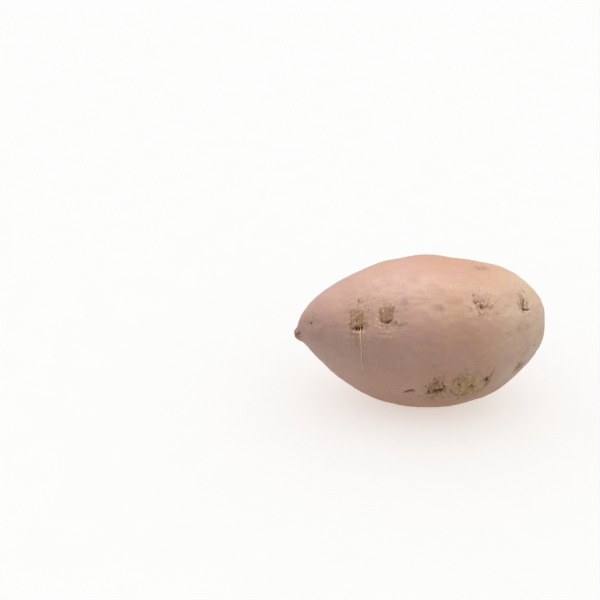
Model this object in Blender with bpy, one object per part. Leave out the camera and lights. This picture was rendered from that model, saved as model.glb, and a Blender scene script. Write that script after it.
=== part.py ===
"""Sweet potato: one whole storage root, lying on its side.

The root grew as one piece, so it is one solid. An egg curve is turned round the long axis, which bows
a little. Broad swellings, lengthwise furrows, root scars, the stub of the root tail and the stem scar
are raised from that egg or sunk into it by formulas. Underneath is the small flat spot it lies on.

Metres. +X runs along the root to its blunt stem end, +Z is up and -Y is the front side. The origin is
in the middle of the flat spot. A place on the skin is given by two numbers. Its share runs along the
root, from -1 at the root tail to 1 at the stem end. Its turn runs round the long axis in degrees: 0 is
on top, 90 at the front, 180 underneath and 270 at the back.
"""

import random

import bmesh
import bpy
import numpy as np

MM = 0.001
NAME = "sweet_potato"

# Driving dimensions
HALF_LENGTH = 63 * MM
HALF_WIDTH = 40.6 * MM
HALF_HEIGHT = 38.8 * MM
FLAT_DEPTH = 0.5 * MM
FLAT_MIDDLE = 1.3 * MM  # from the middle of the length, under the centre of mass

# Egg curve: how the rings change from an ellipse's as they go along
STEM_FULLNESS = 0.06
END_SLIMNESS = 0.133
STEM_BLUNTNESS = 0.13

# Long axis: tilted up to the stem end, and bowed so that both ends are above the middle
TILT = 0.018
BOW = 5 * MM

# Broad swellings (+) and hollows (-): place along from the middle, turn, reach, height
SWELLINGS = (
    (0 * MM, 340, 13 * MM, 0.5 * MM),
    (20 * MM, 350, 12 * MM, -0.7 * MM),
    (41 * MM, 345, 10 * MM, 0.5 * MM),
    (33 * MM, 140, 11 * MM, 0.5 * MM),
    (49 * MM, 135, 9 * MM, -0.7 * MM),
    (-8 * MM, 140, 14 * MM, -0.4 * MM),
    (-30 * MM, 250, 16 * MM, -0.8 * MM),
    (14 * MM, 232, 15 * MM, 0.8 * MM),
    (44 * MM, 280, 12 * MM, -0.6 * MM),
)

# Shallow furrows along the back, from the root tail forward: turn, last place along, width, depth
FURROWS = (
    (208, -4 * MM, 4.5 * MM, 0.7 * MM),
    (265, -22 * MM, 4.0 * MM, 0.6 * MM),
    (318, -34 * MM, 3.5 * MM, 0.4 * MM),
)
FURROW_RUN_OUT = 15 * MM  # over which a furrow fades before its last place
FURROW_FULL_RING = 0.5  # ring size from which it has its whole depth

# Root scars of the two rows at the front and the one on top: place along, turn, width
SCARS_IN_FRONT = (
    (-57.3 * MM, 55, 6 * MM),
    (-34.0 * MM, 57, 11 * MM),
    (-19.0 * MM, 54, 10 * MM),
    (5.0 * MM, 49, 6 * MM),
    (27.0 * MM, 45, 12 * MM),
    (49.0 * MM, 41, 9 * MM),
    (29.0 * MM, 2, 6 * MM),
    (-8.3 * MM, 113, 7 * MM),
    (5.3 * MM, 112, 11 * MM),
    (18.3 * MM, 112, 13 * MM),
    (30.3 * MM, 110, 8 * MM),
    (47.8 * MM, 118, 9 * MM),
)

# The rows at the back go on round the root at the same spacing
ROWS_BEHIND = (175, 236, 294)
SCARS_PER_ROW = 4
ROW_REACH = 60 * MM
OFF_EVEN = 4 * MM  # how far a scar may be from its even place along
OFF_ROW = 7  # and how many degrees of turn from its row's line
SCAR_WIDTHS = (6 * MM, 12 * MM)
SCAR_SEED = 11
SCAR_DEPTH = 0.09  # of a scar's width
RIM_SHARE = 0.3  # how strongly the soft rim round a scar rises

# Root tail and stem scar: the tail is broken off a little below the tip
TAIL_SHARE = -0.985
TAIL_TURN = 172
TAIL_RADIUS = 3.2 * MM  # half way down the stub's side
TAIL_LENGTH = 2.0 * MM
FLARE_REACH = 6.5 * MM  # the skin rises softly towards the stub
FLARE_HEIGHT = 1.2 * MM
STEM_SCAR_SHARE = 0.93
STEM_SCAR_TURN = 285
STEM_SCAR_WIDTH = 8 * MM
STEM_SCAR_DEPTH = 0.9 * MM
BUTTON_WIDTH = 3.6 * MM  # the low button in the middle of the stem scar
BUTTON_HEIGHT = 0.7 * MM

# Mesh: faces round the root, and rings of them from end to end
FACES_ROUND = 96
FACES_ALONG = 54

SKIN_COLOUR = (0.64, 0.42, 0.33, 1.0)
SKIN_ROUGHNESS = 0.55
SHARP_ANGLE = 40  # degrees: only the flat spot's edge could be sharper


def clear_scene():
    for obj in list(bpy.data.objects):
        bpy.data.objects.remove(obj, do_unlink=True)


def ring_share(share):
    """Ring size at each share, as a part of the widest ring's."""
    growth = 1 + STEM_FULLNESS * share - END_SLIMNESS * share**2 + STEM_BLUNTNESS * share**3
    return np.sqrt(1 - share**2) * growth


def arc_between(turn, other, ring):
    """Distance round the root between two turns, on a ring of that size."""
    degrees = (turn - other + 180) % 360 - 180
    return np.radians(degrees) * ring * HALF_HEIGHT


def smooth_step(value):
    """Rises from 0 to 1 as the value does, level at both ends."""
    kept = np.clip(value, 0, 1)
    return kept * kept * (3 - 2 * kept)


def scars_behind():
    """The scars of the hidden rows: about evenly spaced along, each a little off its row's line."""
    draw = random.Random(SCAR_SEED)
    scars = []
    for row in ROWS_BEHIND:
        for number in range(SCARS_PER_ROW):
            even = -1 + (2 * number + 1) / SCARS_PER_ROW
            along = ROW_REACH * even + draw.uniform(-OFF_EVEN, OFF_EVEN)
            turn = row + draw.uniform(-OFF_ROW, OFF_ROW)
            scars.append((along, turn, draw.uniform(*SCAR_WIDTHS)))
    return scars


def swelling_height(along, turn, ring):
    total = np.zeros_like(along)
    for place, middle, reach, height in SWELLINGS:
        far = (along - place) ** 2 + arc_between(turn, middle, ring) ** 2
        total += height * np.exp(-far / reach**2)
    return total


def furrow_height(along, turn, ring):
    """Each furrow is a soft groove that starts behind the root tail and runs out at its last place."""
    total = np.zeros_like(along)
    for middle, last, width, depth in FURROWS:
        across = arc_between(turn, middle, ring) / (width / 2)
        fading = smooth_step((last - along) / FURROW_RUN_OUT)
        runs = fading * smooth_step(ring / FURROW_FULL_RING)
        total -= depth * runs * np.exp(-(across**2))
    return total


def scar_height(along, turn, ring):
    """Each root scar is a dimple with a soft rim that stands a little above the skin."""
    total = np.zeros_like(along)
    for place, middle, width in (*SCARS_IN_FRONT, *scars_behind()):
        radius = width / 2
        far = ((along - place) ** 2 + arc_between(turn, middle, ring) ** 2) / radius**2
        total -= SCAR_DEPTH * width * (1 - RIM_SHARE * far) * np.exp(-far)
    return total


def distance_from(egg, share, turn):
    middle = egg_point(np.array([share]), np.array([turn]))
    return np.linalg.norm(egg - middle, axis=1)


def end_height(egg):
    """The broken-off root tail is a short stub, and the stem scar is a dish round a low button."""
    from_tail = distance_from(egg, TAIL_SHARE, TAIL_TURN)
    stub = TAIL_LENGTH * smooth_step(1.5 - from_tail / TAIL_RADIUS)
    flare = FLARE_HEIGHT * np.exp(-((from_tail / FLARE_REACH) ** 2))
    from_stem = distance_from(egg, STEM_SCAR_SHARE, STEM_SCAR_TURN)
    dish = STEM_SCAR_DEPTH * np.exp(-((2 * from_stem / STEM_SCAR_WIDTH) ** 2))
    button = BUTTON_HEIGHT * np.exp(-((2 * from_stem / BUTTON_WIDTH) ** 2))
    return stub + flare + button - dish


def egg_point(share, turn):
    """Points of the plain bowed egg, one row each."""
    angle = np.radians(turn)
    ring = ring_share(share)
    along = HALF_LENGTH * share - FLAT_MIDDLE
    across = -HALF_WIDTH * ring * np.sin(angle)
    rise = TILT * HALF_LENGTH * share + BOW * share**2
    height = HALF_HEIGHT - FLAT_DEPTH + rise + HALF_HEIGHT * ring * np.cos(angle)
    return np.stack([along, across, height], axis=1)


def egg_normal(share, turn):
    """Outward directions of an ellipsoid with the root's three half sizes."""
    angle = np.radians(turn)
    round_it = np.sqrt(1 - share**2)
    across = -round_it * np.sin(angle) / HALF_WIDTH
    up = round_it * np.cos(angle) / HALF_HEIGHT
    normal = np.stack([share / HALF_LENGTH, across, up], axis=1)
    return normal / np.linalg.norm(normal, axis=1, keepdims=True)


def skin_point(share, turn):
    """Points of the skin: the egg, moved out or in along its normal by all the relief."""
    ring = ring_share(share)
    along = HALF_LENGTH * share
    egg = egg_point(share, turn)
    relief = (
        swelling_height(along, turn, ring)
        + furrow_height(along, turn, ring)
        + scar_height(along, turn, ring)
        + end_height(egg)
    )
    return egg + relief[:, np.newaxis] * egg_normal(share, turn)


def shape_ball(ball):
    """Move the points of a unit ball, whose poles are on Z, to the skin, whose poles are on X."""
    ball.verts.ensure_lookup_table()
    unit = np.array([vert.co for vert in ball.verts])
    share = np.clip(unit[:, 2], -1, 1)
    turn = np.degrees(np.arctan2(unit[:, 1], unit[:, 0])) % 360
    for vert, point in zip(ball.verts, skin_point(share, turn)):
        vert.co = point


def cut_flat_spot(ball):
    """Cut off what is below the surface that the root lies on, and close it with one flat face."""
    everything = ball.verts[:] + ball.edges[:] + ball.faces[:]
    cut = bmesh.ops.bisect_plane(
        ball, geom=everything, plane_co=(0, 0, 0), plane_no=(0, 0, 1), clear_inner=True
    )
    edge = [item for item in cut["geom_cut"] if isinstance(item, bmesh.types.BMEdge)]
    bmesh.ops.edgeloop_fill(ball, edges=edge)
    bmesh.ops.recalc_face_normals(ball, faces=ball.faces[:])


def skin_material():
    material = bpy.data.materials.new("sweet_potato_skin")
    material.use_nodes = True
    shader = material.node_tree.nodes["Principled BSDF"]
    shader.inputs["Base Color"].default_value = SKIN_COLOUR
    shader.inputs["Roughness"].default_value = SKIN_ROUGHNESS
    shader.inputs["Metallic"].default_value = 0.0
    return material


def make_root(collection):
    ball = bmesh.new()
    bmesh.ops.create_uvsphere(ball, u_segments=FACES_ROUND, v_segments=FACES_ALONG, radius=1)
    shape_ball(ball)
    cut_flat_spot(ball)
    mesh = bpy.data.meshes.new(NAME)
    ball.to_mesh(mesh)
    ball.free()
    mesh.shade_smooth()
    mesh.set_sharp_from_angle(angle=np.radians(SHARP_ANGLE))
    mesh.materials.append(skin_material())
    root = bpy.data.objects.new(NAME, mesh)
    collection.objects.link(root)
    return root


def main():
    clear_scene()
    collection = bpy.data.collections.new("Sweet potato")
    bpy.context.scene.collection.children.link(collection)
    make_root(collection)


main()
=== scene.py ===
# %% [markdown]
# # A sweet potato
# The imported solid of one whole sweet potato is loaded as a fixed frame. It gives the true size and the
# place on the floor. The visible skin is a new, finer surface worked out with numpy, and it replaces
# the solid in the picture. The solid stays behind it for collision.

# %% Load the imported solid
import random
from collections import namedtuple

import bpy
import numpy as np
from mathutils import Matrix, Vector


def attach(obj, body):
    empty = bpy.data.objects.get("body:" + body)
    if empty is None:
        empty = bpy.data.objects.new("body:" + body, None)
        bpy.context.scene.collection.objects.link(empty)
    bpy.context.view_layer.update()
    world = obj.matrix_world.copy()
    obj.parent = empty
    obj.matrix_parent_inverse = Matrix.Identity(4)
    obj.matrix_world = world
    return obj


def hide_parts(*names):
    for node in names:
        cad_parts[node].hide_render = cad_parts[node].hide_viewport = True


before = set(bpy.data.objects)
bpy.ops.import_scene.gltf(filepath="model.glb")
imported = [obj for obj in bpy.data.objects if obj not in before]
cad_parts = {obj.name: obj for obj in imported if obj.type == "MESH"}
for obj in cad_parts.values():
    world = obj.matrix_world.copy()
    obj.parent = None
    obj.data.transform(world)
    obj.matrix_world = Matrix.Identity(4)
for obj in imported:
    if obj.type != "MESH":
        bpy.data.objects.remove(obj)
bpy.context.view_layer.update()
MM = 0.001

# %% [markdown]
# ## The egg under the skin
# A sweet potato is a swollen root. Its rings are nearly round, widest a little towards the stem end,
# and its long axis bows a little. A subdivided cage could be pulled into that shape by hand, but an egg
# curve turned round an axis is exact, and it gives every point of the skin an address. The share runs
# along the root, from -1 at the root tail to 1 at the stem end. The turn runs round it in degrees: 0 is
# on top, 90 at the front, 180 underneath and 270 at the back.

# %% Egg formulas
HALF_LENGTH = 63 * MM
HALF_WIDTH = 40.6 * MM
HALF_HEIGHT = 38.8 * MM
FLAT_DEPTH = 0.5 * MM
FLAT_MIDDLE = 1.3 * MM
STEM_FULLNESS, END_SLIMNESS, STEM_BLUNTNESS = 0.06, 0.133, 0.13
TILT, BOW = 0.018, 5 * MM


def ring_share(share):
    """An ellipse's half height, times a cubic in the share that slims the ends and fills the stem side."""
    growth = 1 + STEM_FULLNESS * share - END_SLIMNESS * share**2 + STEM_BLUNTNESS * share**3
    return np.sqrt(1 - share**2) * growth


def egg_point(share, turn):
    """The ring of that share, with the turn's sine across and cosine up, lifted by a tilt and a bow."""
    angle, ring = np.radians(turn), ring_share(share)
    along = HALF_LENGTH * share - FLAT_MIDDLE
    rise = TILT * HALF_LENGTH * share + BOW * share**2
    height = HALF_HEIGHT - FLAT_DEPTH + rise + HALF_HEIGHT * ring * np.cos(angle)
    return np.stack([along, -HALF_WIDTH * ring * np.sin(angle), height], axis=1)


def egg_normal(share, turn):
    """The outward direction of an ellipsoid with the root's three half sizes."""
    angle, belly = np.radians(turn), np.sqrt(1 - share**2)
    across, up = -belly * np.sin(angle) / HALF_WIDTH, belly * np.cos(angle) / HALF_HEIGHT
    normal = np.stack([share / HALF_LENGTH, across, up], axis=1)
    return normal / np.linalg.norm(normal, axis=1, keepdims=True)


def arc_between(turn, other, ring):
    """The shorter way round between two turns, times the ring's size."""
    return np.radians((turn - other + 180) % 360 - 180) * ring * HALF_HEIGHT


def smooth_step(value):
    """Three times the square less twice the cube, with the value kept between 0 and 1."""
    kept = np.clip(value, 0, 1)
    return kept * kept * (3 - 2 * kept)


widest = ring_share(np.linspace(-1, 1, 999)).max()
print("widest ring in mm", round(2 * HALF_WIDTH * widest / MM, 1))

# %% [markdown]
# ## Root scars
# Thin side roots grew out of the skin in rows, about sixty degrees of turn apart. Where each broke off it
# left a scar: a shallow dimple filled with rough cork, with streaks that fan out from one or more dark
# pits. Painting them on a texture would fix them to one picture. Here each scar is a place, a size and
# its pits, and every later step works its relief and its colour out from those few numbers.

# %% Scars that face the camera
# Sizes are in mm, turn is in degrees, and cork and olive go from 0 to 1. lift is how far the cork's middle
# is above the dimple's, and fan how far below the pits the streaks run together. Each pit is its place
# along and up, and its radius.
Scar = namedtuple("Scar", "along turn wide tall lift cork olive fan pits")
FRONT_SCARS = (
    Scar(-57.3, 55, 6, 6, 0.5, 0.35, 0.0, 4, ((0.0, 0.0, 0.8),)),
    Scar(-34.0, 57, 9.5, 17, 1.6, 0.9, 0.3, 28, ((-1.2, -2.3, 1.3), (1.1, -2.2, 1.5), (-2.8, -2.4, 0.9))),
    Scar(-20.3, 54, 10.5, 15, 1.8, 0.75, 0.3, 9, ((-1.0, -1.5, 0.5), (0.5, -1.2, 0.75))),
    Scar(5.0, 49, 6, 9, 0.0, 0.12, 0.3, 8, ()),
    Scar(27.0, 45, 12, 14, 0.5, 0.4, 0.1, 9, ((0.2, -0.2, 0.9), (-3.6, 6.2, 0.6), (-3.7, 2.2, 0.7))),
    Scar(49.8, 41, 8, 13, 1.5, 0.55, 0.1, 30, ((-0.2, -1.8, 0.6), (1.5, -1.7, 0.6))),
    Scar(29.0, 2, 6, 4, 0.0, 0.15, 0.1, 2, ()),
    Scar(-8.3, 113, 7, 4, 0.0, 0.2, 0.3, 3, ((1.6, 0.5, 0.6),)),
    Scar(5.3, 112, 12, 17, 1.0, 0.7, 0.3, 9, ((-0.6, -0.8, 1.3), (1.8, -0.2, 1.1), (-4.2, -1.4, 0.9))),
    Scar(19.1, 112, 15.5, 17, 0.5, 1.0, 1.0, 16, ((-2.6, 1.4, 0.7), (4.1, -1.0, 0.8), (-3.6, 5.0, 0.6))),
    Scar(30.3, 110, 8, 10, 0.5, 0.45, 0.4, 3, ((0.1, -0.3, 1.2),)),
    Scar(47.8, 118, 10, 10, 0.0, 0.6, 0.0, 2, ((-0.5, 0.5, 0.7),)),
)
print(len(FRONT_SCARS), "scars in front")

# %% [markdown]
# ## The hidden rows
# The rows go on round the back and underneath. Nothing shows where each scar sits there, so a seeded draw
# sets it: the same numbers come out on every run, and no two scars are alike.

# %% Scars at the back
ROWS_BEHIND, SCARS_PER_ROW = (175, 236, 294), 4
ROW_REACH, OFF_EVEN, OFF_ROW = 60, 4, 7
SCAR_WIDTHS, SCAR_SEED = (6, 12), 11
# Least and most of what is drawn for each scar: its height by its width, then three values of a Scar
TALLNESS, HIDDEN_CORK, HIDDEN_OLIVE, HIDDEN_FAN = (1, 1.35), (0.4, 1), (0, 0.9), (1, 12)
HIDDEN_LIFT, MORE_PITS = 0.6, 2
# The first pit's place, its radius by the scar's width, and how far further pits are from it, in mm
PIT_ALONG, PIT_UP, PIT_SHARE = (-0.6, 0.6), (-1.5, 0.5), 0.09
NEXT_ALONG, NEXT_UP, NEXT_RADIUS = (-2.5, 2.5), (-1, 3), 0.55


def scars_behind():
    """Even places in each row, each moved a little by a seeded draw, with one to three seeded pits."""
    draw, detail, found = random.Random(SCAR_SEED), random.Random(SCAR_SEED + 1), []
    for row in ROWS_BEHIND:
        for number in range(SCARS_PER_ROW):
            along = ROW_REACH * (-1 + (2 * number + 1) / SCARS_PER_ROW) + draw.uniform(-OFF_EVEN, OFF_EVEN)
            turn, wide = row + draw.uniform(-OFF_ROW, OFF_ROW), draw.uniform(*SCAR_WIDTHS)
            first = (detail.uniform(*PIT_ALONG), detail.uniform(*PIT_UP), PIT_SHARE * wide)
            pits = [first]
            for _ in range(detail.randint(0, MORE_PITS)):
                pit_along = first[0] + detail.uniform(*NEXT_ALONG)
                pits.append((pit_along, first[1] + detail.uniform(*NEXT_UP), NEXT_RADIUS))
            tall, cork = wide * detail.uniform(*TALLNESS), detail.uniform(*HIDDEN_CORK)
            olive, fan = detail.uniform(*HIDDEN_OLIVE), detail.uniform(*HIDDEN_FAN)
            found.append(Scar(along, turn, wide, tall, HIDDEN_LIFT, cork, olive, fan, tuple(pits)))
    return found


HIDDEN_SCARS = scars_behind()
SCARS = (*FRONT_SCARS, *HIDDEN_SCARS)
print(len(SCARS), "root scars,", sum(len(scar.pits) for scar in SCARS), "pits")

# %% [markdown]
# ## Creases and stains
# Between and beside the scars the skin has short creases, from hair-thin wrinkles to the dark mouths of
# the deepest scars, and faint stains where a root only began. Three broad marks among them are a band of
# painted shade across the front, below the lit top. A crease is a line between two places, with a width, a
# depth and a darkness, and that darkness is painted shade in its groove, with the cork's own brown in a
# scar's mouth. A curved one is two or three of them, end to end.

# %% Lines and marks on the skin
# Two ends, each a place along in mm and a turn, then width and depth in mm, and darkness from 0 to 1, painted
# shade in the groove
Crease = namedtuple("Crease", "along turn end_along end_turn wide deep dark")
FRONT_CREASES = (
    Crease(-23.6, 54, -20.8, 56, 1.0, 0.6, 0.45), Crease(-20.8, 56, -17.6, 53.5, 1.2, 0.9, 0.55),
    Crease(-14.4, 50, -14.0, 55, 0.9, 0.15, 0.22), Crease(-12.7, 55, -13.1, 60, 0.9, 0.15, 0.2),
    Crease(-16.5, 61, -15.9, 66, 0.9, 0.15, 0.2), Crease(-32.0, 47, -31.6, 59, 1.0, 0.3, 0.3),
    Crease(-24.8, 58.5, -17.6, 59.5, 0.9, 0.3, 0.22), Crease(-24.3, 62, -15.7, 61.5, 0.9, 0.25, 0.22),
    Crease(-25.3, 65, -18.5, 65.5, 0.9, 0.25, 0.28), Crease(-16.6, 56, -13.3, 60, 0.8, 0.2, 0.25),
    Crease(-17.2, 58, -14.6, 63, 0.8, 0.2, 0.22), Crease(2.4, 52, 2.9, 45, 1.0, 0.15, 0.18),
    Crease(2.9, 45, 5.6, 44, 1.0, 0.15, 0.15), Crease(5.6, 44, 6.7, 52, 1.0, 0.15, 0.2),
    Crease(26.2, 42, 27.0, 47.5, 1.3, 0.7, 0.62), Crease(27.0, 47.5, 29.5, 43.5, 1.1, 0.5, 0.5),
    Crease(24.5, 50, 26.5, 56, 0.8, 0.25, 0.3), Crease(28.5, 49, 30.5, 55, 0.8, 0.25, 0.28),
    Crease(31.0, 44, 32.5, 50, 0.8, 0.2, 0.25), Crease(48.2, 45.3, 52.2, 44.5, 1.2, 0.7, 0.65),
    Crease(48.9, 44, 49.1, 32, 1.5, 0.3, 0.6), Crease(51.1, 44, 51.3, 33, 1.2, 0.2, 0.42),
    Crease(27.0, 3, 31.0, 359, 1.7, 0.4, 0.65), Crease(-10.8, 115.5, -6.1, 111.5, 1.1, 0.9, 0.75),
    Crease(3.2, 114.5, 7.7, 112, 1.5, 0.9, 0.8),
    Crease(0.8, 107, 1.9, 116.5, 1.1, 0.5, 0.65), Crease(7.2, 103, 9.7, 111.5, 1.1, 0.5, 0.7),
    Crease(2.8, 104.5, 5.7, 102, 1.0, 0.4, 0.55), Crease(3.6, 118, 4.4, 123, 1.0, 0.4, 0.5),
    Crease(12.9, 107, 14.2, 101, 1.3, 0.4, 0.42), Crease(14.2, 101, 17.0, 102.5, 1.3, 0.4, 0.4),
    Crease(18.6, 101, 19.6, 108, 1.3, 0.4, 0.45), Crease(22.6, 110, 23.6, 118, 1.3, 0.4, 0.45),
    Crease(12.4, 113, 13.4, 119, 1.4, 0.4, 0.5), Crease(13.4, 119, 16.8, 122.5, 1.3, 0.4, 0.45),
    Crease(16.8, 122.5, 21.0, 122, 1.3, 0.4, 0.45), Crease(15.4, 106, 17.2, 112, 1.3, 0.4, 0.5),
    Crease(31.0, 111, 33.7, 98, 1.0, 0.4, 0.45),
    Crease(37.4, 75.5, 42.2, 71, 0.9, 0.35, 0.25), Crease(37.7, 71.5, 40.8, 68.5, 0.9, 0.3, 0.2),
    Crease(54.7, 96, 55.4, 98.5, 1.2, 0.3, 0.7), Crease(55.1, 86, 55.0, 94, 1.0, 0.1, 0.22),
    Crease(16.9, 36, 16.9, 44, 0.9, 0.1, 0.1), Crease(19.3, 37, 19.3, 44, 0.9, 0.1, 0.1),
)
# Faint marks with no cork, three of them a broad band of painted shade: place along in mm, turn, width in mm,
# strength
STAINS_AND_SHADE_BAND = (
    (-11.3, 40, 4.5, 0.5), (-5.9, 21, 3, 0.25), (19.3, 95, 3, 0.35), (-12.5, 83, 3, 0.35),
    (50.4, 65, 4, 0.3), (45.4, 67, 3, 0.3), (26.0, 39, 5, 0.5), (-3.3, 119, 1.6, 0.6), (-0.1, 122, 1.4, 0.6),
    # The three marks 16 to 18 mm wide at turns 71 to 73 on the next line are painted shade across the front,
    # below the lit top
    (27.8, 3, 4.5, 0.55), (30.2, 1, 4.5, 0.5), (-13, 73, 18, 0.15), (2, 72, 18, 0.19), (17, 71, 16, 0.17),
    (49.9, 36, 7, 0.2), (3.4, 123, 1.6, 0.5), (12.3, 121, 1.6, 0.5), (16.8, 127, 1.6, 0.4),
    (5.4, 46, 5, 0.3), (-25, 300, 5, 0.35), (35, 268, 6, 0.35), (-5, 208, 5, 0.35), (-41, 330, 4, 0.3),
    (8, 262, 3, 0.3), (20, 320, 3, 0.3),
)
HIDDEN_ALONG, HIDDEN_TURNS, CREASE_SEED = (-50, 52), (130, 385), 23
BESIDE_EACH_SCAR, SCATTERED = 3, 26
FAINTEST, DARKEST_BESIDE, DARKEST_SCATTERED = 0.1, 0.6, 0.22
# In mm along and in degrees: how far a hidden crease is from its start, and how long it is
OFF_ALONG, OFF_TURN, LONGEST, WIDEST_SWING = 4, 5, 3.5, 6
HIDDEN_WIDTH, LEAST_DEPTH, DEPTH_BY_DARKNESS = 0.9, 0.1, 0.5


def hidden_creases():
    """A few short creases beside each hidden scar, and fainter ones scattered over the hidden side."""
    draw, beside, found = random.Random(CREASE_SEED), range(BESIDE_EACH_SCAR), []
    starts = [(scar.along, scar.turn, DARKEST_BESIDE) for scar in HIDDEN_SCARS for _ in beside]
    for _ in range(SCATTERED):
        starts.append((draw.uniform(*HIDDEN_ALONG), draw.uniform(*HIDDEN_TURNS), DARKEST_SCATTERED))
    for along, turn, darkest in starts:
        along, turn = along + draw.uniform(-OFF_ALONG, OFF_ALONG), turn + draw.uniform(-OFF_TURN, OFF_TURN)
        dark = draw.uniform(FAINTEST, darkest)
        end_along = along + draw.uniform(-LONGEST, LONGEST)
        end_turn = turn + draw.uniform(-WIDEST_SWING, WIDEST_SWING)
        deep = LEAST_DEPTH + DEPTH_BY_DARKNESS * dark
        found.append(Crease(along, turn, end_along, end_turn, HIDDEN_WIDTH, deep, dark))
    return found


CREASES = (*FRONT_CREASES, *hidden_creases())
print(len(CREASES), "creases,", len(STAINS_AND_SHADE_BAND), "stains")

# %% [markdown]
# ## The broad form
# Before the fine relief come the forms that show in the outline: soft swellings and hollows, three
# furrows on the back, a dimple at each scar, the stub of the root tail and the dish of the stem scar. They
# repeat the solid's formulas, so that the skin lies where the solid is.

# %% Broad relief
# Place along in mm, turn, reach in mm, height in mm
SWELLINGS = (
    (0, 340, 13, 0.5), (20, 350, 12, -0.7), (41, 345, 10, 0.5), (33, 140, 11, 0.5), (49, 135, 9, -0.7),
    (-8, 140, 14, -0.4), (-30, 250, 16, -0.8), (14, 232, 15, 0.8), (44, 280, 12, -0.6),
)
# Turn, last place along in mm, width in mm, depth in mm
FURROWS = ((208, -4, 4.5, 0.7), (265, -22, 4.0, 0.6), (318, -34, 3.5, 0.4))
FURROW_RUN_OUT, FURROW_FULL_RING = 15 * MM, 0.5
SCAR_DEPTH, RIM_SHARE, FAINTEST_DIMPLE = 0.09, 0.3, 0.3
TAIL_SHARE, TAIL_TURN, TAIL_RADIUS, TAIL_LENGTH = -0.985, 172, 3.2 * MM, 2.0 * MM
TAIL_FOOT = 1.5  # where the stub's side starts to rise, in its radii
FLARE_REACH, FLARE_HEIGHT = 6.5 * MM, 1.2 * MM
STEM_SCAR_SHARE, STEM_SCAR_TURN, STEM_SCAR_WIDTH, STEM_SCAR_DEPTH = 0.93, 285, 8 * MM, 0.9 * MM
BUTTON_WIDTH, BUTTON_HEIGHT = 3.6 * MM, 0.7 * MM


def distance_from(egg, share, turn):
    """The straight distance of each point from one place on the egg."""
    return np.linalg.norm(egg - egg_point(np.array([share]), np.array([turn])), axis=1)


def broad_relief(share, turn, egg):
    """Swellings and dimples are bell curves, furrows are bell curves across a line, the stub is a step."""
    along, ring = HALF_LENGTH * share, ring_share(share)
    total = np.zeros_like(share)
    for place, middle, reach, height in SWELLINGS:
        far = (along - place * MM) ** 2 + arc_between(turn, middle, ring) ** 2
        total += height * MM * np.exp(-far / (reach * MM) ** 2)
    for middle, last, width, depth in FURROWS:
        across = arc_between(turn, middle, ring) / (width * MM / 2)
        runs = smooth_step((last * MM - along) / FURROW_RUN_OUT) * smooth_step(ring / FURROW_FULL_RING)
        total -= depth * MM * runs * np.exp(-(across**2))
    for scar in SCARS:
        far = (along - scar.along * MM) ** 2 + arc_between(turn, scar.turn, ring) ** 2
        far /= (scar.wide * MM / 2) ** 2
        depth = SCAR_DEPTH * scar.wide * MM * min(1, FAINTEST_DIMPLE + scar.cork)
        total -= depth * (1 - RIM_SHARE * far) * np.exp(-far)
    from_tail = distance_from(egg, TAIL_SHARE, TAIL_TURN)
    total += TAIL_LENGTH * smooth_step(TAIL_FOOT - from_tail / TAIL_RADIUS)
    total += FLARE_HEIGHT * np.exp(-((from_tail / FLARE_REACH) ** 2))
    from_stem = distance_from(egg, STEM_SCAR_SHARE, STEM_SCAR_TURN)
    total += BUTTON_HEIGHT * np.exp(-((2 * from_stem / BUTTON_WIDTH) ** 2))
    return total - STEM_SCAR_DEPTH * np.exp(-((2 * from_stem / STEM_SCAR_WIDTH) ** 2))


# %% [markdown]
# ## Fine relief
# Real skin is never as smooth as a formula. Noise textures are for colour. For the mesh itself a sum of
# sine waves that run in random directions is enough, and it can be stretched: long waves along the root
# give it faint ribs, and short ones beside the scars give it crumbs of cork.

# %% Waves
EVEN = (1, 1, 1)  # not stretched
WAVELENGTH_SPREAD = (0.75, 1.4)  # shortest and longest wave, by the wavelength that is asked for
# Height in mm, wavelength in mm, seed and stretch of large and small lumps, ribs and orange-peel
UNEVENNESS = ((0.16, 15, 1, EVEN), (0.05, 6, 2, EVEN), (0.035, 2.6, 3, (9, 1, 1)), (0.018, 2.2, 4, EVEN))


def wave_field(points, wavelength, seed, stretch=EVEN, count=24):
    """The sum of seeded sine waves of about that wavelength, scaled so that most of it lies in -1 to 1."""
    draw = np.random.default_rng(seed)
    ways = draw.normal(size=(count, 3))
    ways /= np.linalg.norm(ways, axis=1, keepdims=True) * np.asarray(stretch)
    rates = 2 * np.pi / (wavelength * MM * draw.uniform(*WAVELENGTH_SPREAD, count))
    waves = np.sin(points @ (ways * rates[:, np.newaxis]).T + draw.uniform(0, 2 * np.pi, count))
    return waves.sum(axis=1) / np.sqrt(count)


def skin_unevenness(egg):
    """Soft lumps, faint lengthwise ribs and a light orange-peel, in mm: the sum of their wave fields."""
    return sum(height * wave_field(egg, *wave) for height, *wave in UNEVENNESS)


# %% [markdown]
# ## Flat maps
# A scar is easier to draw on flat paper than on an egg. So each scar and crease gets a flat map, in mm
# along the root and up round it. On the map a fan of streaks is a wave field that is squeezed round one
# point, the fan's source, and drawn out away from it.

# %% Maps and fans
STREAK_SPACING, STREAK_DRIFT, STREAK_WAVES = 1.9, 0.12, 16
LEAST_CIRCLE = 2.5  # mm, the fan's circle where its source is at the pits
CRACK_WIDTH, CRACKS_START, CRACKS_GROW = 0.28, 0.4, 1.2  # of a wave's height, then mm from the source
SHARE_STEP, TURN_STEP = 1e-4, 1e-2  # small steps that give the tangents
TINY = 1e-6  # mm, so that nothing is divided by zero


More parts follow.
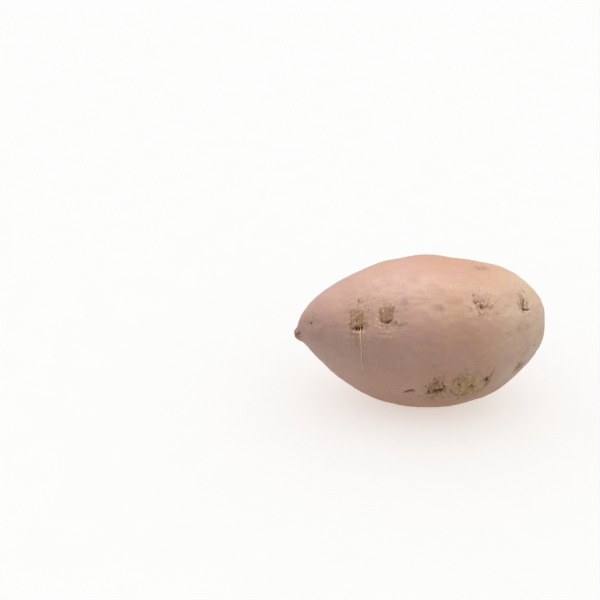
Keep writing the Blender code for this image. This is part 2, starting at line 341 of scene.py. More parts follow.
def flat_map(egg, along, turn):
    """Offsets from one place along the two tangents there, stretched so that their length is the distance."""
    share = along * MM / HALF_LENGTH
    near = egg_point(np.array([share, share + SHARE_STEP, share]), np.array([turn, turn, turn - TURN_STEP]))
    tangents = (near[1:] - near[0]) / np.linalg.norm(near[1:] - near[0], axis=1, keepdims=True)
    offset = (egg - near[0]) / MM
    flat = offset @ tangents.T
    length = np.maximum(np.linalg.norm(flat, axis=1), TINY)
    return flat * (np.linalg.norm(offset, axis=1) / length)[:, np.newaxis]


def fan_place(flat, spread):
    """The direction from the source, on a circle that grows with the spread, and a little of the distance.
    The spread is how far the source is from the pits, in mm."""
    far = np.linalg.norm(flat, axis=1)
    circle = flat / np.maximum(far, TINY)[:, np.newaxis] * (LEAST_CIRCLE + spread)
    return np.column_stack([circle, STREAK_DRIFT * far]) * MM


def fan_cracks(flat, spread, seed):
    """Lines where a wave field, taken at the fan's places, crosses zero. They start off the source."""
    field = wave_field(fan_place(flat, spread), 2 * STREAK_SPACING, seed, count=STREAK_WAVES)
    grown = smooth_step((np.linalg.norm(flat, axis=1) - CRACKS_START) / CRACKS_GROW)
    return np.exp(-((field / CRACK_WIDTH) ** 2)) * grown


# %% [markdown]
# ## Cork, cracks and pits
# Masks come from the maps, for every point of the skin: cork, which thins out to a ragged edge, cracks,
# pits and stains, with a band of painted shade, and how olive the cork is. The mesh is raised and sunk by
# the first three. All are kept on the mesh for the material as well, so the dark of a crack or pit always
# lies in its groove: partly the cork's own brown and partly painted shade.

# %% Scar masks
# In mm, and for pits and lips in pit radii
CORK_RISE, CRACK_DEPTH, PIT_DEPTH, LIP_RISE = 0.22, 0.22, 1.3, 0.25
EVEN_CORK, CRUMBLY_CORK = 0.4, 0.6  # parts of the cork's rise
CORK_FADING, CORK_POWER = 0.9, 2.2  # how soon and how suddenly the cork thins out
RAGGED, RAGGED_PIT = 0.3, 0.4  # how much rough waves move an edge
PIT_WIDTH, LIP_PLACE, LIP_WIDTH = 0.95, 1.7, 0.6  # in pit radii
# A wider pit is painted darker: partly the cork's own brown, partly painted shade in the hole
DARK_PIT = 1.2  # mm, the radius from which a pit is fully dark
SCAR_REACH, CREASE_REACH, GROOVE_WIDTH = 1.5, 3, 0.6  # in scar and crease widths
GROOVE_ENDS, GROOVE_MIDDLE = 0.45, 0.55  # how strong a groove is at its ends, and what its middle adds
EDGE_WAVES = ((0.7, 4.5, 5), (0.4, 1.8, 6))  # height, wavelength in mm, seed
CRUMB_WAVELENGTH, CRUMB_SEED, CRACK_SEED = 1.5, 7, 100
PATTERN_STEP = 40 * MM  # between the places where two scars read the same noise
OUT_OF_REACH, SEAM_WIDTH = 99.0, 0.6  # in scar radii
TAIL_ALONG, STEM_ALONG = TAIL_SHARE * HALF_LENGTH / MM, STEM_SCAR_SHARE * HALF_LENGTH / MM
STEM_PITS = ((0.9, 0.4, 0.5), (-0.6, -0.9, 0.5), (-0.5, 0.9, 0.4))
END_SCARS = (
    Scar(TAIL_ALONG, TAIL_TURN, 6.5, 6.5, 0, 1.0, 0.0, 0, ((0.0, 0.0, 0.9),)),
    Scar(STEM_ALONG, STEM_SCAR_TURN, 9, 9, 0, 1.0, 0.5, 0, STEM_PITS),
)


def add_scar(number, scar, egg, rough, crumbs, masks):
    """One scar's cork is a soft ellipse, each pit is a bell curve and each pit's lip a ring round it."""
    flat = flat_map(egg, scar.along, scar.turn)
    near = np.flatnonzero(np.linalg.norm(flat, axis=1) < SCAR_REACH * max(scar.wide, scar.tall))
    flat, rough, crumbs = flat[near], rough[near], crumbs[near]
    across, above = flat[:, 0] / (scar.wide / 2), (flat[:, 1] - scar.lift) / (scar.tall / 2)
    far = np.hypot(across, above) * (1 + RAGGED * rough)
    cork = scar.cork * np.exp(-CORK_FADING * far**CORK_POWER)
    source = np.mean([pit[:2] for pit in scar.pits[:2]] or [(0, 0)], axis=0) - (0, scar.fan)
    cracks = fan_cracks(flat - source, scar.fan, CRACK_SEED + number) * cork
    hollow, sunk, lip = np.zeros((3, len(flat)))
    for along, up, radius in scar.pits:
        gone = np.hypot(flat[:, 0] - along, flat[:, 1] - up) / radius * (1 + RAGGED_PIT * rough)
        hole = np.exp(-((gone / PIT_WIDTH) ** 2))
        # Painted shade, in part: a wider hole is painted darker
        hollow = np.maximum(hollow, hole * min(1, radius / DARK_PIT))
        sunk = np.maximum(sunk, hole * radius)
        lip = np.maximum(lip, np.exp(-(((gone - LIP_PLACE) / LIP_WIDTH) ** 2)) * radius)
    masks["second"][near] = np.minimum(masks["second"][near], np.maximum(far, masks["nearest"][near]))
    won = near[far < masks["nearest"][near]]
    kept = np.isin(near, won)
    masks["nearest"][won] = far[kept]
    masks["scar_place"][won] = fan_place(flat[kept] - source, scar.fan) + (0, 0, PATTERN_STEP * number)
    masks["olive"][won] = scar.olive
    for name, values in (("cork", cork), ("crack", cracks), ("pit", hollow)):
        masks[name][near] = np.maximum(masks[name][near], values)
    masks["relief"][near] += CORK_RISE * cork * (EVEN_CORK + CRUMBLY_CORK * crumbs) - CRACK_DEPTH * cracks
    masks["relief"][near] += LIP_RISE * lip - PIT_DEPTH * sunk


def add_crease(crease, egg, rough, masks):
    """A bell curve of the distance to the line between the two ends, thinner towards each end."""
    middle = (crease.along + crease.end_along) / 2, (crease.turn + crease.end_turn) / 2
    ends_along = np.array([crease.along, crease.end_along]) * MM / HALF_LENGTH
    ends = flat_map(egg_point(ends_along, np.array([crease.turn, crease.end_turn])), *middle)
    flat = flat_map(egg, *middle)
    line = ends[1] - ends[0]
    length = np.linalg.norm(line)
    near = np.flatnonzero(np.linalg.norm(flat, axis=1) < length + CREASE_REACH * crease.wide)
    offset = flat[near] - ends[0]
    part = np.clip(offset @ line / length**2, 0, 1)
    gone = np.linalg.norm(offset - part[:, np.newaxis] * line, axis=1) * (1 + RAGGED * rough[near])
    taper = GROOVE_ENDS + GROOVE_MIDDLE * np.sin(np.pi * part)
    groove = np.exp(-((gone / (GROOVE_WIDTH * crease.wide * taper)) ** 2))
    # Painted shade: the groove's darkness goes into the pit mask, and dark brown is painted in it
    masks["pit"][near] = np.maximum(masks["pit"][near], crease.dark * groove)
    masks["relief"][near] -= crease.deep * groove * taper


def scar_masks(egg):
    """Every mask, each point's place in the nearest scar's map, and the relief they make in mm. Half way
    between two scars that place jumps, so the mask alone falls to 0 there."""
    masks = {name: np.zeros(len(egg)) for name in ("cork", "crack", "pit", "olive", "stain_and_shade", "relief")}
    masks.update({name: np.full(len(egg), OUT_OF_REACH) for name in ("nearest", "second")})
    masks["scar_place"] = np.zeros((len(egg), 3))
    rough = sum(height * wave_field(egg, *wave) for height, *wave in EDGE_WAVES)
    crumbs = wave_field(egg, CRUMB_WAVELENGTH, CRUMB_SEED)
    for number, scar in enumerate((*SCARS, *END_SCARS)):
        add_scar(number, scar, egg, rough, crumbs, masks)
    for crease in CREASES:
        add_crease(crease, egg, rough, masks)
    # Stains, and three broad marks that are painted shade
    for along, middle, wide, strength in STAINS_AND_SHADE_BAND:
        far = np.linalg.norm(flat_map(egg, along, middle), axis=1) / (wide / 2) * (1 + RAGGED * rough)
        masks["stain_and_shade"] = np.maximum(masks["stain_and_shade"], strength * np.exp(-(far**2)))
    masks["alone"] = smooth_step((masks["second"] - masks["nearest"]) / SEAM_WIDTH)
    return masks


# %% [markdown]
# ## The skin's mesh
# The skin is one grid: rings that are evenly spaced along it, and the same number of points on each. A
# closed end is a single point with a fan of triangles, and the last point of a ring is joined to its
# first, so there is no seam. What would reach below the floor is laid flat on it.

# %% Build the skin
RINGS, ROUND, MEASURED_AT = 259, 370, 4001
KEPT_MASKS = ("cork", "crack", "pit", "olive", "stain_and_shade", "alone", "scar_place")


def even_shares(count):
    """Shares of points that are evenly spaced along the egg curve, read from its running length."""
    share = np.cos(np.linspace(0, np.pi, MEASURED_AT))
    curve = np.stack([HALF_LENGTH * share, HALF_HEIGHT * ring_share(share)])
    length = np.concatenate([[0], np.cumsum(np.linalg.norm(np.diff(curve, axis=1), axis=0))])
    return np.interp(np.linspace(0, length[-1], count), length, share)


def grid_faces(rings, around):
    """Four-sided faces between neighbouring rings, and a fan of three-sided ones at each end point."""
    first = 1 + np.arange(rings * around).reshape(rings, around)
    after = np.roll(first, -1, axis=1)
    quads = np.stack([first[:-1], first[1:], after[1:], after[:-1]], axis=-1).reshape(-1, 4)
    last = np.full(around, 1 + rings * around)
    start = np.stack([np.zeros(around, int), first[0], after[0]], axis=1)
    end = np.stack([last, after[-1], first[-1]], axis=1)
    return [*quads.tolist(), *start.tolist(), *end.tolist()]


def make_mesh(name, points, faces):
    mesh = bpy.data.meshes.new(name)
    mesh.from_pydata(points.tolist(), [], faces)
    mesh.shade_smooth()
    made = bpy.data.objects.new(name, mesh)
    bpy.context.scene.collection.objects.link(made)
    return made


def skin_surface(share, turn):
    """The egg, moved along its normal by the broad and the fine relief. Returns points and masks."""
    egg = egg_point(share, turn)
    masks = scar_masks(egg)
    relief = broad_relief(share, turn, egg) + MM * (skin_unevenness(egg) + masks["relief"])
    points = egg + relief[:, np.newaxis] * egg_normal(share, turn)
    points[:, 2] = np.maximum(points[:, 2], 0)
    return points, masks


rows = even_shares(RINGS + 2)
turns = np.arange(ROUND) * 360 / ROUND
share = np.concatenate([[rows[0]], np.repeat(rows[1:-1], ROUND), [rows[-1]]])
turn = np.concatenate([[0], np.tile(turns, RINGS), [0]])
points, masks = skin_surface(share, turn)
skin = make_mesh("sweet_potato_skin", points, grid_faces(RINGS, ROUND))
for name in KEPT_MASKS:
    kind, key = ("FLOAT_VECTOR", "vector") if masks[name].ndim == 2 else ("FLOAT", "value")
    skin.data.attributes.new(name, kind, "POINT").data.foreach_set(key, masks[name].ravel())
print("skin", len(skin.data.polygons), "faces,", 2 * RINGS * ROUND, "triangles")

# %% [markdown]
# ## Hair roots
# A few hair roots are still on the skin: dry threads, about half a millimetre thick, that start at a
# pit and cling to the surface. A bevelled curve would do, but its ends have to be closed by hand. Here
# each is a ring of points carried along a route on the skin, thinner towards its tip.

# %% Build the hair roots
# Start along in mm, start turn, end along in mm, end turn, sway in mm, thickness in mm
HAIR_ROOTS = (
    (-33.4, 58, -31.2, 103, 0.4, 0.55),
    (-18.7, 243, -9.5, 262, 1.2, 0.4),
    (15.2, 296, 22.5, 317, 0.9, 0.4),
    (-47.5, 290, -52.5, 258, 0.8, 0.36),
)
HAIR_POINTS, HAIR_SIDES, HALF_SWINGS = 60, 8, 2.3
HAIR_LIFT = 0.4  # of the thickness: how far the thread's middle is above the skin
THINNING_POWER, LIFT_POWER = 1.5, 6
TIP_THINNING, TIP_CLOSING, TIP_LEFT, TIP_LIFT = 0.6, 12, 0.02, 0.7 * MM


def hair_root(name, start, start_turn, end, end_turn, sway, thickness):
    """A round thread whose middle line is even steps between two places, swayed sideways by a sine. Powers
    of the step thin it and lift its tip."""
    step = np.linspace(0, 1, HAIR_POINTS)
    along = start + (end - start) * step + sway * np.sin(HALF_SWINGS * np.pi * step) * step
    route_turn = start_turn + (end_turn - start_turn) * step
    route_share = along * MM / HALF_LENGTH
    surface, _ = skin_surface(route_share, route_turn)
    outward = egg_normal(route_share, route_turn)
    thin = (1 - TIP_THINNING * step**THINNING_POWER) * smooth_step((1 - step) * TIP_CLOSING + TIP_LEFT)
    radius = thickness / 2 * MM * thin
    line = surface + outward * (HAIR_LIFT * thickness * MM + TIP_LIFT * step[:, np.newaxis] ** LIFT_POWER)
    ahead = np.gradient(line, axis=0)
    side = np.cross(ahead, outward)
    side /= np.linalg.norm(side, axis=1, keepdims=True)
    raised = np.cross(side, ahead / np.linalg.norm(ahead, axis=1, keepdims=True))
    angle = np.linspace(0, 2 * np.pi, HAIR_SIDES, endpoint=False)[:, np.newaxis]
    circle = np.cos(angle) * side[:, np.newaxis] + np.sin(angle) * raised[:, np.newaxis]
    rings = line[:, np.newaxis] + circle * radius[:, np.newaxis, np.newaxis]
    tube = np.concatenate([line[:1], rings.reshape(-1, 3), line[-1:]])
    return make_mesh(name, tube, grid_faces(HAIR_POINTS, HAIR_SIDES))


hairs = [hair_root(f"hair_root_{number}", *values) for number, values in enumerate(HAIR_ROOTS, 1)]
print(len(hairs), "hair roots")

# %% [markdown]
# ## Colours and nodes
# Colours are picked as sRGB hex values, and the shader works in linear light, so one function turns
# them. One more small function adds any node, sets it and links it.

# %% Node helpers


def linear(hex_colour):
    """The sRGB curve undone: divided by 12.92 near black, else a power of 2.4."""
    parts = [int(hex_colour[start : start + 2], 16) / 255 for start in (1, 3, 5)]
    return (*(part / 12.92 if part <= 0.04045 else ((part + 0.055) / 1.055) ** 2.4 for part in parts), 1)


def add(tree, kind, inputs=(), out=0, **settings):
    """Adds a node and returns one of its outputs. inputs are values, or sockets to join: in order, or by
    name or number."""
    item = tree.nodes.new("ShaderNode" + kind)
    for name, value in settings.items():
        setattr(item, name, value)
    for key, value in inputs.items() if isinstance(inputs, dict) else enumerate(inputs):
        if isinstance(value, bpy.types.NodeSocket):
            tree.links.new(value, item.inputs[key])
        else:
            item.inputs[key].default_value = value
    return item.outputs[out]


def new_material(name):
    material = bpy.data.materials.new(name)
    material.use_nodes = True
    return material, material.node_tree, material.node_tree.nodes["Principled BSDF"]


# Settings that come up often. A Mix node of colours has its colours at inputs 6 and 7. A Map Range node
# takes a value, where its range starts and ends, and what comes out at either end.
FACTOR, UNDER, OVER = 0, 6, 7
COLOURS = {"data_type": "RGBA", "out": 2}
SOFT = {"interpolation_type": "SMOOTHSTEP"}
TIMES, MINUS = {"operation": "MULTIPLY"}, {"operation": "SUBTRACT"}
TIMES_PLUS, LARGER = {"operation": "MULTIPLY_ADD"}, {"operation": "MAXIMUM"}
NOISE_MIDDLE = 0.5  # a noise node's values lie round it
print("pure white is", linear("#ffffff"))

# %% [markdown]
# ## Ground colour of the skin
# The skin is periderm, a few layers of dry cork cells over pink and tan flesh, washed and rubbed. It is
# rosy at the root end, tan in the middle and greyer at the stem end. Its lower part is painted a darker
# brown, which is painted shade towards the floor. Over that lie soft blotches, fine lengthwise fibres,
# faint veins and small pale pores. Each layer here is a pair: how much of it shows, and its colour.
# Patterns are in metres, so a noise's scale is one over the size of its grain.

# %% Ground layers
MOTTLE_SIZE, BLOTCH_SIZE, BLOOM_SIZE = 22 * MM, 7 * MM, 13 * MM
FIBRE_SIZE, FIBRE_STRETCH, VEIN_SIZE, VEIN_STRETCH = 0.9 * MM, 0.12, 4 * MM, 0.07
PORE_SPACING, PORE_SQUEEZE, SPECK_SPACING = 3.2 * MM, 2.6, 9 * MM
DRIFT = 9.0  # how much of the change from rose to tan a metre along the root adds
STEM_WANDER, UNDERSIDE_SHADE_WANDER = 20 * MM, 8 * MM  # how far the mottling moves those layers' edges
# Where a layer starts to show, where it shows most, and, unless all of it does, how much shows at both
TAN_SHOWS, SAND_SHOWS, LILAC_SHOWS = (0.1, 0.8), (0.5, 0.8, 0.0, 0.55), (0.5, 0.7, 0.0, 0.5)
STEM_SHOWS, UNDERSIDE_SHADE_SHOWS = (28 * MM, 62 * MM, 0.0, 0.9), (34 * MM, 9 * MM, 0.0, 0.7)
FIBRE_SHOWS, VEIN_SHOWS, PORE_SHOWS = (0.35, 0.75, 0.0, 0.16), (0.02, 0.0), (0.16, 0.08)
SPECK_SHOWS, VEIN_SHARE, PORE_SHARE = (0.05, 0.025, 0.0, 0.55), 0.12, 0.25
ROSE, TAN, STEM_TAN, SAND, LILAC = map(linear, ("#ae897c", "#a87f65", "#b49c86", "#b08b68", "#a98079"))
# Painted shade: a darker brown laid over the lower part of the root, towards the floor
UNDERSIDE_SHADE_BROWN = linear("#8f653c")
# The stain brown also paints the band of shade across the front
FIBRE_SHADE, PORE_PALE, SPECK_BROWN, STAIN_AND_SHADE_BROWN = map(linear, ("#865c41", "#bc9f7c", "#65432e", "#745341"))


def ground_layers(tree, place):
    """Returns the layers from the bottom up, and the patterns that gloss and bump use again."""
    along = add(tree, "SeparateXYZ", {"Vector": place})
    mottle = add(tree, "TexNoise", {"Vector": place, "Scale": 1 / MOTTLE_SIZE, "Detail": 2.0})
    drift = add(tree, "Math", (along, DRIFT, mottle), **TIMES_PLUS)
    to_stem = add(tree, "Math", (mottle, STEM_WANDER, along), **TIMES_PLUS)
    up = add(tree, "SeparateXYZ", {"Vector": place}, out=2)
    uneven_up = add(tree, "Math", (mottle, UNDERSIDE_SHADE_WANDER, up), **TIMES_PLUS)
    blotch = add(
        tree, "TexNoise", {"Vector": place, "Scale": 1 / BLOTCH_SIZE, "Detail": 4.0, "Roughness": 0.6}
    )
    bloom = add(
        tree, "TexNoise", {"Vector": place, "Scale": 1 / BLOOM_SIZE, "Detail": 3.0, "Distortion": 0.6}
    )

    long_place = add(tree, "Mapping", {"Vector": place, "Scale": (FIBRE_STRETCH, 1, 1)})
    fibre = add(
        tree, "TexNoise", {"Vector": long_place, "Scale": 1 / FIBRE_SIZE, "Detail": 3.0, "Roughness": 0.6}
    )
    longer_place = add(tree, "Mapping", {"Vector": place, "Scale": (VEIN_STRETCH, 1, 1)})
    wander = add(tree, "TexNoise", {"Vector": longer_place, "Scale": 1 / VEIN_SIZE, "Detail": 2.0})
    off_line = add(tree, "Math", (wander, NOISE_MIDDLE), **MINUS)
    from_line = add(tree, "Math", (off_line,), operation="ABSOLUTE")
    vein = add(tree, "MapRange", (from_line, *VEIN_SHOWS), **SOFT)

    short_place = add(tree, "Mapping", {"Vector": place, "Scale": (PORE_SQUEEZE, 1, 1)})
    to_pore = add(tree, "TexVoronoi", {"Vector": short_place, "Scale": 1 / PORE_SPACING})
    pore = add(tree, "MapRange", (to_pore, *PORE_SHOWS), **SOFT)
    to_speck = add(tree, "TexVoronoi", {"Vector": place, "Scale": 1 / SPECK_SPACING})

    layers = [
        (add(tree, "MapRange", (drift, *TAN_SHOWS), **SOFT), TAN),
        (add(tree, "MapRange", (to_stem, *STEM_SHOWS), **SOFT), STEM_TAN),
        (add(tree, "MapRange", (blotch, *SAND_SHOWS), **SOFT), SAND),
        (add(tree, "MapRange", (bloom, *LILAC_SHOWS), **SOFT), LILAC),
        # Painted shade: darker and browner towards the floor
        (add(tree, "MapRange", (uneven_up, *UNDERSIDE_SHADE_SHOWS), **SOFT), UNDERSIDE_SHADE_BROWN),
        (add(tree, "MapRange", (fibre, *FIBRE_SHOWS), **SOFT), FIBRE_SHADE),
        (add(tree, "Math", (vein, VEIN_SHARE), **TIMES), FIBRE_SHADE),
        (add(tree, "Math", (pore, PORE_SHARE), **TIMES), PORE_PALE),
        (add(tree, "MapRange", (to_speck, *SPECK_SHOWS), **SOFT), SPECK_BROWN),
        # Stains, and the broad band of painted shade across the front
        (add(tree, "Attribute", out=2, attribute_name="stain_and_shade"), STAIN_AND_SHADE_BROWN),
    ]
    return layers, {"blotch": blotch, "fibre": fibre, "vein": vein, "pore": pore}


# %% [markdown]
# ## Colour of the scars
# In the scars the cork is thick, grey-brown to olive and broken into crumbs, with a few pale flakes, dark
# streaks that run out from where the fan meets, and nearly black pits. The dark in the gaps between
# crumbs, in cracks, creases and pits is partly the cork's own brown and partly painted shade in those
# hollows. The mask gives only how likely cork is at a point. A pattern of crumbs or streaks is added to it
# and cut off at a level, so the edge is ragged and thins out, as if brushed on.

# %% Scar layers
CRUMB_SIZE, FLAKE_SIZE, STREAK_GRAIN = 0.7 * MM, 1.3 * MM, 1.0 * MM
# The dark cork brown and the pit brown are partly the cork's own colour and partly painted shade in hollows
CORK_TAN, CORK_OLIVE, CORK_DARK_AND_SHADE = map(linear, ("#8c6748", "#a88c5a", "#644426"))
CORK_PALE, PIT_BROWN_AND_SHADE = map(linear, ("#ceb48c", "#583212"))
CRUMBS_ADD, STREAKS_ADD = 0.65, -1.5  # what the two patterns add to the cork's mask
STREAKS_LOST_TO_OLIVE = -0.5
PATCH_SHARE, LINE_SHARE = 0.62, 0.5
# As for the ground layers. AMONG_CORK is how much cork a spot has to have for streaks and flakes
PATCH_SHOWS, AMONG_CORK, STREAK_SHOWS = (-0.25, 0.4), (0.05, 0.4), (0.5, 0.36)
FLAKE_SHOWS, GAP_SHOWS, PIT_SHOWS = (0.55, 0.64, 0.0, 0.75), (0.48, 0.34, 0.0, 0.6), (0.08, 0.75, 0.0, 0.95)


def scar_layers(tree, place):
    """Streaks are noise at the fan's places, so they run straight out from its source. They even out to
    the noise's middle value where two scars meet."""
    names = ("cork", "crack", "pit", "olive", "alone")
    cork, crack, pit, olive, alone = (add(tree, "Attribute", out=2, attribute_name=name) for name in names)
    fan = add(tree, "Attribute", out=1, attribute_name="scar_place")
    streak = add(
        tree, "TexNoise", {"Vector": fan, "Scale": 1 / STREAK_GRAIN, "Detail": 3.0, "Roughness": 0.6}
    )
    streak = add(tree, "Mix", {"Factor": alone, "A": NOISE_MIDDLE, "B": streak})
    crumb = add(
        tree, "TexNoise", {"Vector": place, "Scale": 1 / CRUMB_SIZE, "Detail": 4.0, "Roughness": 0.65}
    )
    flake = add(
        tree, "TexNoise", {"Vector": place, "Scale": 1 / FLAKE_SIZE, "Detail": 3.0, "Roughness": 0.7}
    )

    broken = add(tree, "Math", (crumb, CRUMBS_ADD, cork), **TIMES_PLUS)
    brushed = add(tree, "Math", (streak, STREAKS_ADD, broken), **TIMES_PLUS)
    patch = add(tree, "MapRange", (brushed, *PATCH_SHOWS), **SOFT)
    among = add(tree, "MapRange", (cork, *AMONG_CORK), **SOFT)
    dark_streak = add(tree, "MapRange", (streak, *STREAK_SHOWS), **SOFT)
    line = add(tree, "Math", (dark_streak, among), **TIMES)
    line = add(tree, "Math", (line, crack), **LARGER)
    streaky = add(tree, "Math", (olive, STREAKS_LOST_TO_OLIVE, 1.0), **TIMES_PLUS)
    line = add(tree, "Math", (line, streaky), **TIMES)
    flakes = add(tree, "MapRange", (flake, *FLAKE_SHOWS), **SOFT)

    colour = add(tree, "Mix", {FACTOR: olive, UNDER: CORK_TAN, OVER: CORK_OLIVE}, **COLOURS)
    gap = add(tree, "MapRange", (crumb, *GAP_SHOWS), **SOFT)
    layers = [
        (add(tree, "Math", (patch, PATCH_SHARE), **TIMES), colour),
        # Partly painted shade: dark between the crumbs, where the bump is lowest, and along cracks
        (add(tree, "Math", (gap, patch), **TIMES), CORK_DARK_AND_SHADE),
        (add(tree, "Math", (flakes, among), **TIMES), CORK_PALE),
        (add(tree, "Math", (line, LINE_SHARE), **TIMES), CORK_DARK_AND_SHADE),
        # Pits and creases: their own brown and painted shade in the hollow
        (add(tree, "MapRange", (pit, *PIT_SHOWS), **SOFT), PIT_BROWN_AND_SHADE),
    ]
    dull = add(tree, "Math", (patch, pit), **LARGER)
    return layers, {"crumb": crumb, "patch": patch, "line": line, "dull": dull}


# %% [markdown]
# ## Sweet potato periderm
# Dry periderm is satin: a faint waxy gloss over the skin, and none on the broken cork. A roughness made of
# patterns gives that, where one number for all of it would look like plastic. One loop lays every layer
# over the one before it. Bump holds only what is finer than the mesh, and a height of 1 is a millimetre.

# %% Skin material
# How high or deep each pattern is, in mm
FIBRE_HEIGHT, VEIN_DEPTH, PORE_HEIGHT, CRUMB_HEIGHT, LINE_DEPTH = 0.05, 0.012, 0.02, 0.35, 0.1
SATIN = (0.3, 0.7, 0.5, 0.62)  # from and to these blotch values, from and to these roughnesses
CORK_IS_ROUGHER = 0.5


def skin_material():
    material, tree, shader = new_material("sweet_potato_periderm")
    place = add(tree, "TexCoord", out=3)
    ground, skin_pattern = ground_layers(tree, place)
    scars, scar_pattern = scar_layers(tree, place)
    colour = ROSE
    for share_of_layer, layer in (*ground, *scars):
        colour = add(tree, "Mix", {FACTOR: share_of_layer, UNDER: colour, OVER: layer}, **COLOURS)
    tree.links.new(colour, shader.inputs["Base Color"])

    satin = add(tree, "MapRange", (skin_pattern["blotch"], *SATIN), **SOFT)
    rough = add(tree, "Math", (scar_pattern["dull"], CORK_IS_ROUGHER, satin), **TIMES_PLUS)
    tree.links.new(rough, shader.inputs["Roughness"])
    shader.inputs["IOR"].default_value = 1.5
    shader.inputs["Specular IOR Level"].default_value = 0.7

    crumbs = add(tree, "Math", (scar_pattern["crumb"], scar_pattern["patch"]), **TIMES)
    height = add(tree, "Math", (skin_pattern["fibre"], FIBRE_HEIGHT), **TIMES)
    for pattern, rise in (
        (skin_pattern["vein"], -VEIN_DEPTH),
        (skin_pattern["pore"], PORE_HEIGHT),
        (crumbs, CRUMB_HEIGHT),
        (scar_pattern["line"], -LINE_DEPTH),
    ):
        height = add(tree, "Math", (pattern, rise, height), **TIMES_PLUS)
    bump = add(tree, "Bump", {"Height": height, "Distance": 1 * MM, "Strength": 1.0})
    tree.links.new(bump, shader.inputs["Normal"])
    return material


skin.data.materials.append(skin_material())
print("skin material", len(skin.data.materials[0].node_tree.nodes), "nodes")

# %% [markdown]
# ## Dry hair root
# A hair root is dried plant fibre, pale straw with browner stretches, and dull.

# %% Hair root material
STRAW, BROWN_STRAW, STRAW_PATCH = linear("#dcc5a6"), linear("#b8946f"), 4 * MM


def hair_material():
    material, tree, shader = new_material("dry_root_fibre")
    place = add(tree, "TexCoord", out=3)
    patches = add(tree, "TexNoise", {"Vector": place, "Scale": 1 / STRAW_PATCH, "Detail": 3.0})
    colour = add(tree, "Mix", {FACTOR: patches, UNDER: BROWN_STRAW, OVER: STRAW}, **COLOURS)
    tree.links.new(colour, shader.inputs["Base Color"])
    shader.inputs["Roughness"].default_value = 0.7
    return material


fibre_finish = hair_material()
for hair in hairs:
    hair.data.materials.append(fibre_finish)
print("hair root material", len(fibre_finish.node_tree.nodes), "nodes")

# %% [markdown]
# ## Riding on the solid
# A new piece has to know what carries it. The row has one body, root, and every piece rides on it. The
# skin then stands for the solid, which is hidden and kept for collision.

# %% Join the pieces to the frame
for piece in (skin, *hairs):
    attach(piece, "root")
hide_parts("sweet_potato")
print("pieces", [piece.name for piece in (skin, *hairs)])

# %% [markdown]
# ## Floor
# A plain matt white table, so large that its edge is never in the picture. Goods are often photographed on
# a milky sheet that is lit from below as well, which leaves only a faint shadow. Here the table glows a
# little for the same reason.

# %% White table
FLOOR_HALF, FLOOR_GAP, FLOOR_GRAIN, FLOOR_GLOW = 3.0, 0.1 * MM, 25 * MM, 0.45
TABLE_WHITE, TABLE_PALER = linear("#f9f9f8"), linear("#fcfcfb")


def white_floor():
    """A flat square round the origin, a hair below the root so that the two faces don't fight."""
    corners = np.array([[-1, -1, 0], [1, -1, 0], [1, 1, 0], [-1, 1, 0]]) * FLOOR_HALF - [0, 0, FLOOR_GAP]
    floor = make_mesh("floor", corners, [[0, 1, 2, 3]])
    material, tree, shader = new_material("matt_white_table")
    place = add(tree, "TexCoord", out=3)
    grain = add(tree, "TexNoise", {"Vector": place, "Scale": 1 / FLOOR_GRAIN, "Detail": 2.0})
    white = add(tree, "Mix", {FACTOR: grain, UNDER: TABLE_WHITE, OVER: TABLE_PALER}, **COLOURS)
    tree.links.new(white, shader.inputs["Base Color"])
    shader.inputs["Roughness"].default_value = 0.9
    shader.inputs["Specular IOR Level"].default_value = 0.1
    shader.inputs["Emission Color"].default_value = (1, 1, 1, 1)
    shader.inputs["Emission Strength"].default_value = FLOOR_GLOW
    floor.data.materials.append(material)
    return floor


white_floor()
print("floor", 2 * FLOOR_HALF, "m square")

# %% [markdown]
# ## Light
# A long strip of light hangs above the root and a little behind it, so the whole top is bright and the
# front falls off into shade at the same height from end to end. It lights only the root: light linking
# keeps it off the table, where it would throw a dark shadow. A white world and the glowing table fill in
# the rest from every side.

# %% Strip light and white world
STRIP_PLACE, STRIP_AIM = Vector((0.3, 0.4, 2.5)), Vector((0, 0, 0.03))
STRIP_LENGTH, STRIP_WIDTH, STRIP_WATTS, WORLD_STRENGTH = 4.6, 1.0, 124.0, 0.55


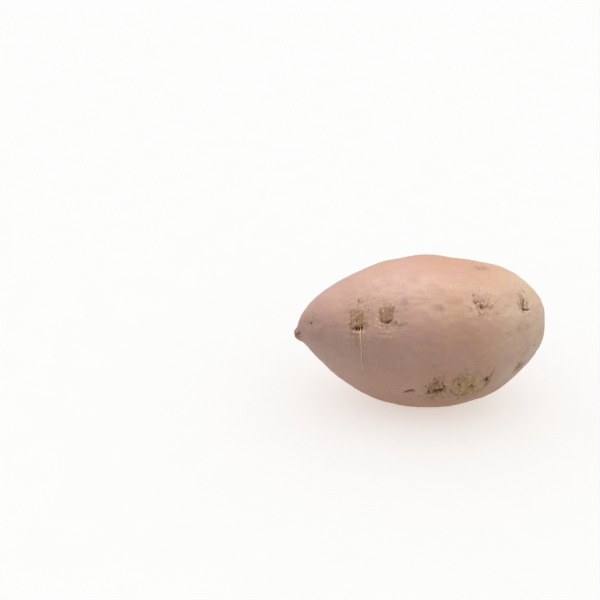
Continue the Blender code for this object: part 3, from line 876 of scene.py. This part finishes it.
def strip_light():
    """A rectangle of light whose face, its -Z side, is turned to its aim."""
    lamp = bpy.data.lights.new("strip_light", "AREA")
    lamp.shape, lamp.size, lamp.size_y = "RECTANGLE", STRIP_LENGTH, STRIP_WIDTH
    lamp.energy = STRIP_WATTS
    made = bpy.data.objects.new("strip_light", lamp)
    bpy.context.scene.collection.objects.link(made)
    made.location = STRIP_PLACE
    made.rotation_euler = (STRIP_AIM - STRIP_PLACE).to_track_quat("-Z", "Y").to_euler()
    return made


strip = strip_light()
root_only = bpy.data.collections.new("lit_by_the_strip")
for piece in (skin, *hairs):
    root_only.objects.link(piece)
strip.light_linking.receiver_collection = root_only
world = bpy.data.worlds.new("studio")
world.use_nodes = True
world.node_tree.nodes["Background"].inputs["Color"].default_value = (1, 1, 1, 1)
world.node_tree.nodes["Background"].inputs["Strength"].default_value = WORLD_STRENGTH
bpy.context.scene.world = world
bpy.context.scene.view_settings.view_transform = "Standard"
print("strip light", strip.data.energy, "W, world", WORLD_STRENGTH)

# %% [markdown]
# ## Camera
# A long lens looks down on the table by 25 degrees. It is moved sideways and up instead of turned, so the
# root lies to the right of the picture's middle and a little below it, and keeps its shape.

# %% Camera
PICTURE = 600  # pixels
LENS, SENSOR, NEAREST = 85.0, 36.0, 0.01  # mm, mm, metres
ELEVATION, DISTANCE = np.radians(25), 0.7225
MIDDLE_RIGHT, MIDDLE_DOWN = 62.6 * MM, 18 * MM  # of the root's middle from the picture's

middle = np.array([-FLAT_MIDDLE, 0, HALF_HEIGHT - FLAT_DEPTH])
forward = np.array([0, np.cos(ELEVATION), -np.sin(ELEVATION)])
eye = middle - np.array([MIDDLE_RIGHT, 0, -MIDDLE_DOWN]) - DISTANCE * forward
lens = bpy.data.cameras.new("camera")
lens.lens, lens.sensor_width, lens.clip_start = LENS, SENSOR, NEAREST
camera = bpy.data.objects.new("camera", lens)
bpy.context.scene.collection.objects.link(camera)
camera.location = eye
camera.rotation_euler = (np.pi / 2 - ELEVATION, 0, 0)
bpy.context.scene.camera = camera
print("one pixel is", round(DISTANCE * SENSOR / LENS / PICTURE / MM, 3), "mm at the root")
